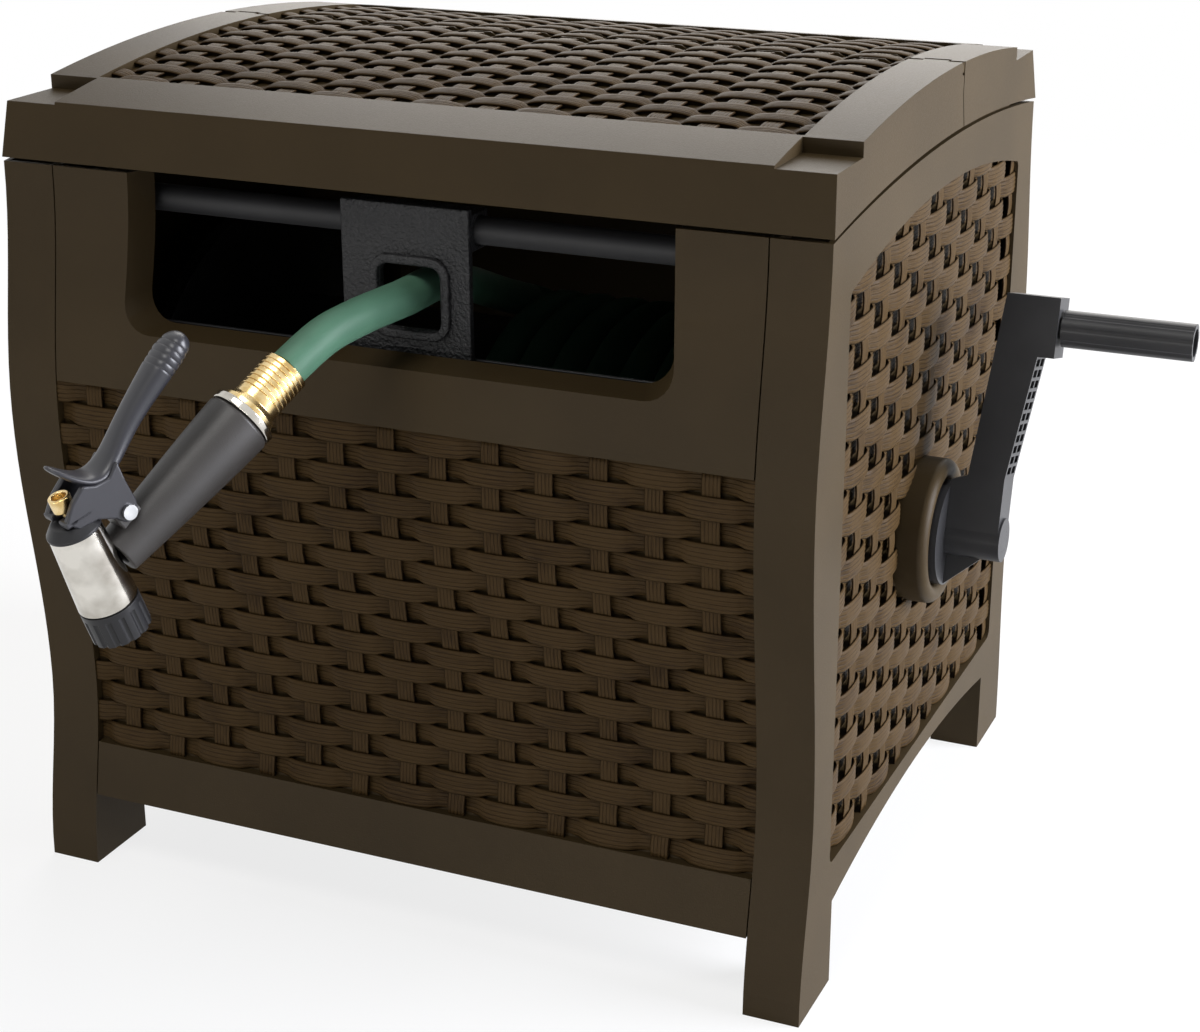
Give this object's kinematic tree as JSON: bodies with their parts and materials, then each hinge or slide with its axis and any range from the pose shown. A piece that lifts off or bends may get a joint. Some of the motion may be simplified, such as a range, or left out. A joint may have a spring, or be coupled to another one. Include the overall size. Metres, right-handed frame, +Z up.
{
  "type": "hose reel box",
  "caption": "Free-standing garden hose reel box in woven-look resin with a split hinged lid, hand crank, sliding hose guide and a hose ending in a pistol nozzle.",
  "frame": {"origin": "on the ground, at the middle of the base of the box with its crank and inlet fitting", "axes": "+X towards the crank side, +Y towards the rear, +Z up; the front with its window faces -Y"},
  "size_m": [0.77, 0.7308, 0.567],
  "materials": {
    "brown_resin": "moulded satin grain",
    "black_resin": "moulded satin",
    "black_gloss": "smooth",
    "rubber_sleeve": "soft matt",
    "seal_rubber": "matt",
    "green_hose": "smooth vinyl",
    "steel": "bright",
    "chrome": "polished",
    "brass": "turned"
  },
  "bodies": {
    "cabinet": {"left_side_panel": "brown_resin", "right_side_panel": "brown_resin", "front_panel": "brown_resin", "rear_panel": "brown_resin", "lid_rear_section": "brown_resin", "lid_hinge_pins": "steel", "panel_screws": "steel", "left_bush": "black_resin", "right_bush": "black_resin", "inlet_tube": "black_resin", "inlet_retainer": "black_resin", "retainer_screws": "steel", "inlet_seals": "seal_rubber", "guide_rail": "black_gloss", "rail_brackets": "black_resin", "guide_track": "black_resin"},
    "lid": {"lid_flap": "brown_resin"},
    "reel": {"reel_drum": "black_resin", "left_flange": "black_resin", "right_flange": "black_resin", "water_axle": "black_resin", "outlet_elbow": "brass", "hose_winding": "green_hose", "crank_arm": "black_gloss", "crank_screw": "steel", "grip_clip": "steel"},
    "grip": {"crank_grip": "black_gloss"},
    "guide": {"guide_plate": "black_resin", "guide_rim": "black_resin", "hose_lead": "green_hose", "hose_end": "green_hose", "hose_coupling": "brass", "handle_ring": "chrome", "handle_sleeve": "rubber_sleeve", "nozzle_head": "chrome", "trigger_pin": "steel"},
    "trigger": {"trigger_lever": "black_gloss"},
    "valve": {"valve_rod": "brass", "flow_nut": "brass"},
    "collar": {"spray_collar": "black_gloss"}
  },
  "joints": [
    {"name": "lid_hinge", "type": "hinge", "parent": "cabinet", "child": "lid", "pos_m": [-0.067, 0.038, 0.56244], "axis": [-1, 0, 0], "range_deg": [0, 95]},
    {"name": "reel_spin", "type": "hinge", "parent": "cabinet", "child": "reel", "pos_m": [-0.067, -0.016, 0.257], "axis": [1, 0, 0], "continuous": true, "deforming": ["hose_lead"]},
    {"name": "grip_spin", "type": "hinge", "parent": "reel", "child": "grip", "pos_m": [0.345, 0.01932, 0.39866], "axis": [1, 0, 0], "continuous": true},
    {"name": "guide_slide", "type": "slide", "parent": "cabinet", "child": "guide", "axis": [1, 0, 0], "range_m": [-0.13, 0.13], "deforming": ["hose_lead"]},
    {"name": "trigger_pull", "type": "hinge", "parent": "guide", "child": "trigger", "pos_m": [-0.13734, -0.43695, 0.36546], "axis": [-0.9063, 0.4226, 0], "range_deg": [0, 12], "stiffness_Nm_per_rad": 1, "springref_deg": -5.73},
    {"name": "valve_slide", "type": "slide", "parent": "guide", "child": "valve", "axis": [-0.1445, -0.31, 0.9397], "range_m": [0, 0.0062]},
    {"name": "collar_turn", "type": "hinge", "parent": "guide", "child": "collar", "pos_m": [-0.14935, -0.46271, 0.35898], "axis": [0.1445, 0.31, -0.9397], "range_deg": [0, 120]}
  ],
  "couplings": [
    {"joint": "valve_slide", "follows": "trigger_pull", "m_per_rad": 0.029}
  ]
}
